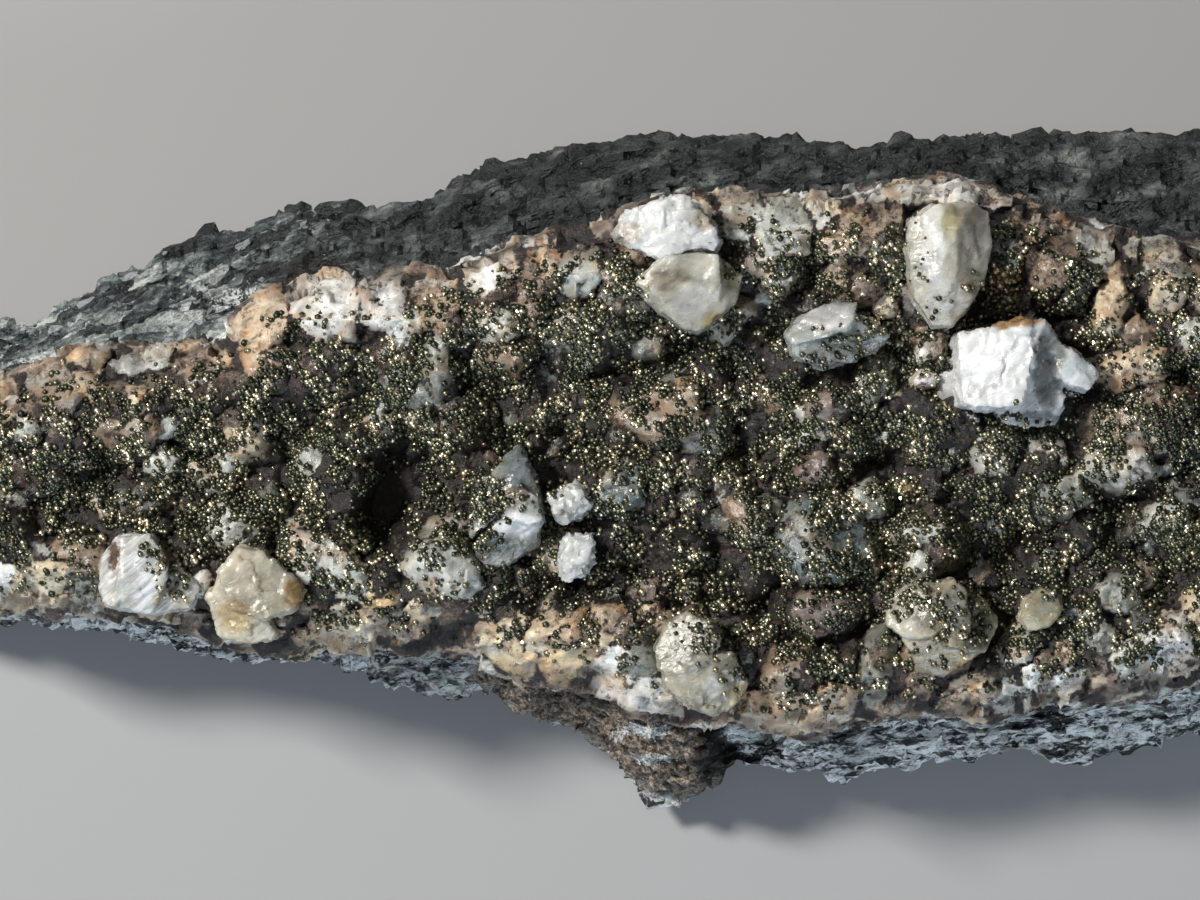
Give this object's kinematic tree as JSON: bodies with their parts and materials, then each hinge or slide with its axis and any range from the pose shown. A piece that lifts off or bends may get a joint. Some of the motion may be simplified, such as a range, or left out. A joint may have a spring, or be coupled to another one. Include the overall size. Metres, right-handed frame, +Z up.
{
  "type": "pyrite specimen on calcite and gneiss",
  "caption": "Hand specimen with a skin of tiny brassy pyrite crystals over a crust of pale calcite crystals, on a slab of foliated grey gneiss lying on its broken back.",
  "frame": {"origin": "centre of the specimen's bounding box in plan, on the flat broken back it rests on", "axes": "+X along the slab, from its narrow end to its broad end; +Y towards its far, shelving edge; +Z up, out of the crystal crust"},
  "size_m": [0.1, 0.0415, 0.0235],
  "materials": {
    "gneiss": "rough foliated grey rock with pale grains and mica glints",
    "calcite": "lumpy cream to brown crystal crust, slightly translucent",
    "white_calcite": "bright white cleaved crystal",
    "cream_calcite": "cream translucent crystal",
    "grey_calcite": "grey translucent crystal",
    "pyrite": "tiny bright brassy metallic crystals"
  },
  "bodies": {
    "root": {"gneiss_matrix": "gneiss", "calcite_crust": "calcite", "pyrite_druse": "pyrite", "cleavage_block": "white_calcite", "broken_crystal": "white_calcite", "small_white_a": "white_calcite", "small_white_b": "white_calcite", "tall_crystal": "cream_calcite", "wedge_crystal": "cream_calcite", "cream_lump": "cream_calcite", "striped_crystal": "cream_calcite", "rhomb_crystal": "cream_calcite", "cream_cluster": "cream_calcite", "translucent_lump": "cream_calcite", "pale_crystal": "grey_calcite", "grey_crystal": "grey_calcite"}
  },
  "joints": []
}
